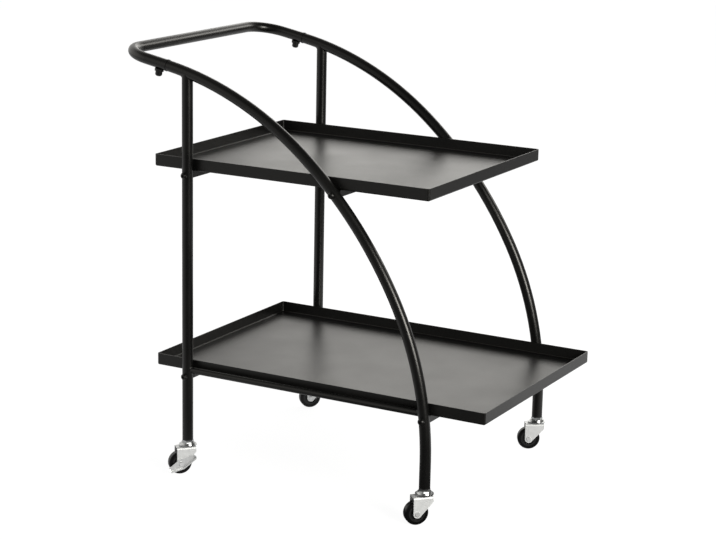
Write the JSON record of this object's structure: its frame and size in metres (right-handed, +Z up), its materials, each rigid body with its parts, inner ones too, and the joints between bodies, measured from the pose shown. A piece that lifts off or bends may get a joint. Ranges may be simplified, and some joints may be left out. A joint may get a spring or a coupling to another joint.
{
  "type": "kitchen cart",
  "caption": "Two-tier kitchen cart with rimmed sheet-metal trays on bowed tube side frames, a U-shaped push handle and swivel casters, the rear right one with a rocker brake.",
  "frame": {"origin": "middle of the lower tray's floor, on its upper face, midway between the side frames", "axes": "+Z up, +X forward away from the handle, +Y to the cart's left"},
  "size_m": [0.7502, 0.5331, 0.7844],
  "materials": {
    "frame_paint": "satin black powder coat",
    "tray_paint": "matt black powder coat",
    "bolt_black": "black oxide",
    "knob_plastic": "moulded, satin",
    "insert_plastic": "moulded, matt",
    "nut_zinc": "bright zinc plate",
    "cup_zinc": "bright zinc plate, pressed",
    "bearing_steel": "greased steel",
    "fork_zinc": "zinc plate, pressed sheet",
    "axle_zinc": "zinc plate, riveted",
    "lever_zinc": "zinc plate, pressed sheet",
    "wheel_plastic": "moulded, satin",
    "tyre_rubber": "smooth rubber"
  },
  "bodies": {
    "frame": {"upper_tray": "tray_paint", "lower_tray": "tray_paint", "upper_rear_bar": "frame_paint", "upper_front_bar": "frame_paint", "lower_rear_bar": "frame_paint", "lower_front_bar": "frame_paint", "bar_plugs": "insert_plastic", "tray_bolts": "bolt_black", "left_bow": "frame_paint", "right_bow": "frame_paint", "left_rear_leg": "frame_paint", "right_rear_leg": "frame_paint", "left_rail": "frame_paint", "right_rail": "frame_paint", "handle": "frame_paint", "handle_knobs": "knob_plastic", "leg_inserts": "insert_plastic", "stem_nuts": "nut_zinc", "left_front_stem": "nut_zinc", "left_front_cup": "cup_zinc", "left_front_bearing": "bearing_steel", "right_front_stem": "nut_zinc", "right_front_cup": "cup_zinc", "right_front_bearing": "bearing_steel", "left_rear_stem": "nut_zinc", "left_rear_cup": "cup_zinc", "left_rear_bearing": "bearing_steel", "right_rear_stem": "nut_zinc", "right_rear_cup": "cup_zinc", "right_rear_bearing": "bearing_steel"},
    "left_front_swivel": {"left_front_fork": "fork_zinc", "left_front_axle": "axle_zinc"},
    "left_front_wheel": {"left_front_wheel_core": "wheel_plastic", "left_front_tyre": "tyre_rubber"},
    "right_front_swivel": {"right_front_fork": "fork_zinc", "right_front_axle": "axle_zinc"},
    "right_front_wheel": {"right_front_wheel_core": "wheel_plastic", "right_front_tyre": "tyre_rubber"},
    "left_rear_swivel": {"left_rear_fork": "fork_zinc", "left_rear_axle": "axle_zinc"},
    "left_rear_wheel": {"left_rear_wheel_core": "wheel_plastic", "left_rear_tyre": "tyre_rubber"},
    "right_rear_swivel": {"right_rear_fork": "fork_zinc", "right_rear_axle": "axle_zinc"},
    "right_rear_wheel": {"right_rear_wheel_core": "wheel_plastic", "right_rear_tyre": "tyre_rubber"},
    "brake": {"brake_lever": "lever_zinc"}
  },
  "joints": [
    {"name": "left_front_caster_turn", "type": "hinge", "parent": "frame", "child": "left_front_swivel", "pos_m": [0.2318, 0.237, -0.1421], "axis": [0, 0, 1], "continuous": true},
    {"name": "left_front_wheel_spin", "type": "hinge", "parent": "left_front_swivel", "child": "left_front_wheel", "pos_m": [0.21881, 0.2295, -0.1728], "axis": [-0.5, 0.866, 0], "continuous": true},
    {"name": "right_front_caster_turn", "type": "hinge", "parent": "frame", "child": "right_front_swivel", "pos_m": [0.2318, -0.237, -0.1421], "axis": [0, 0, 1], "continuous": true},
    {"name": "right_front_wheel_spin", "type": "hinge", "parent": "right_front_swivel", "child": "right_front_wheel", "pos_m": [0.22138, -0.24779, -0.1728], "axis": [-0.7193, 0.6947, 0], "continuous": true},
    {"name": "left_rear_caster_turn", "type": "hinge", "parent": "frame", "child": "left_rear_swivel", "pos_m": [-0.261, 0.237, -0.1421], "axis": [0, 0, 1], "continuous": true},
    {"name": "left_rear_wheel_spin", "type": "hinge", "parent": "left_rear_swivel", "child": "left_rear_wheel", "pos_m": [-0.27161, 0.22639, -0.1728], "axis": [-0.7071, 0.7071, 0], "continuous": true},
    {"name": "right_rear_caster_turn", "type": "hinge", "parent": "frame", "child": "right_rear_swivel", "pos_m": [-0.261, -0.237, -0.1421], "axis": [0, 0, 1], "continuous": true},
    {"name": "right_rear_wheel_spin", "type": "hinge", "parent": "right_rear_swivel", "child": "right_rear_wheel", "pos_m": [-0.27123, -0.24797, -0.1728], "axis": [-0.7314, 0.682, 0], "continuous": true},
    {"name": "brake_lever_rock", "type": "hinge", "parent": "right_rear_swivel", "child": "brake", "pos_m": [-0.27123, -0.24797, -0.1728], "axis": [-0.7314, 0.682, 0], "range_deg": [0, 28]}
  ]
}
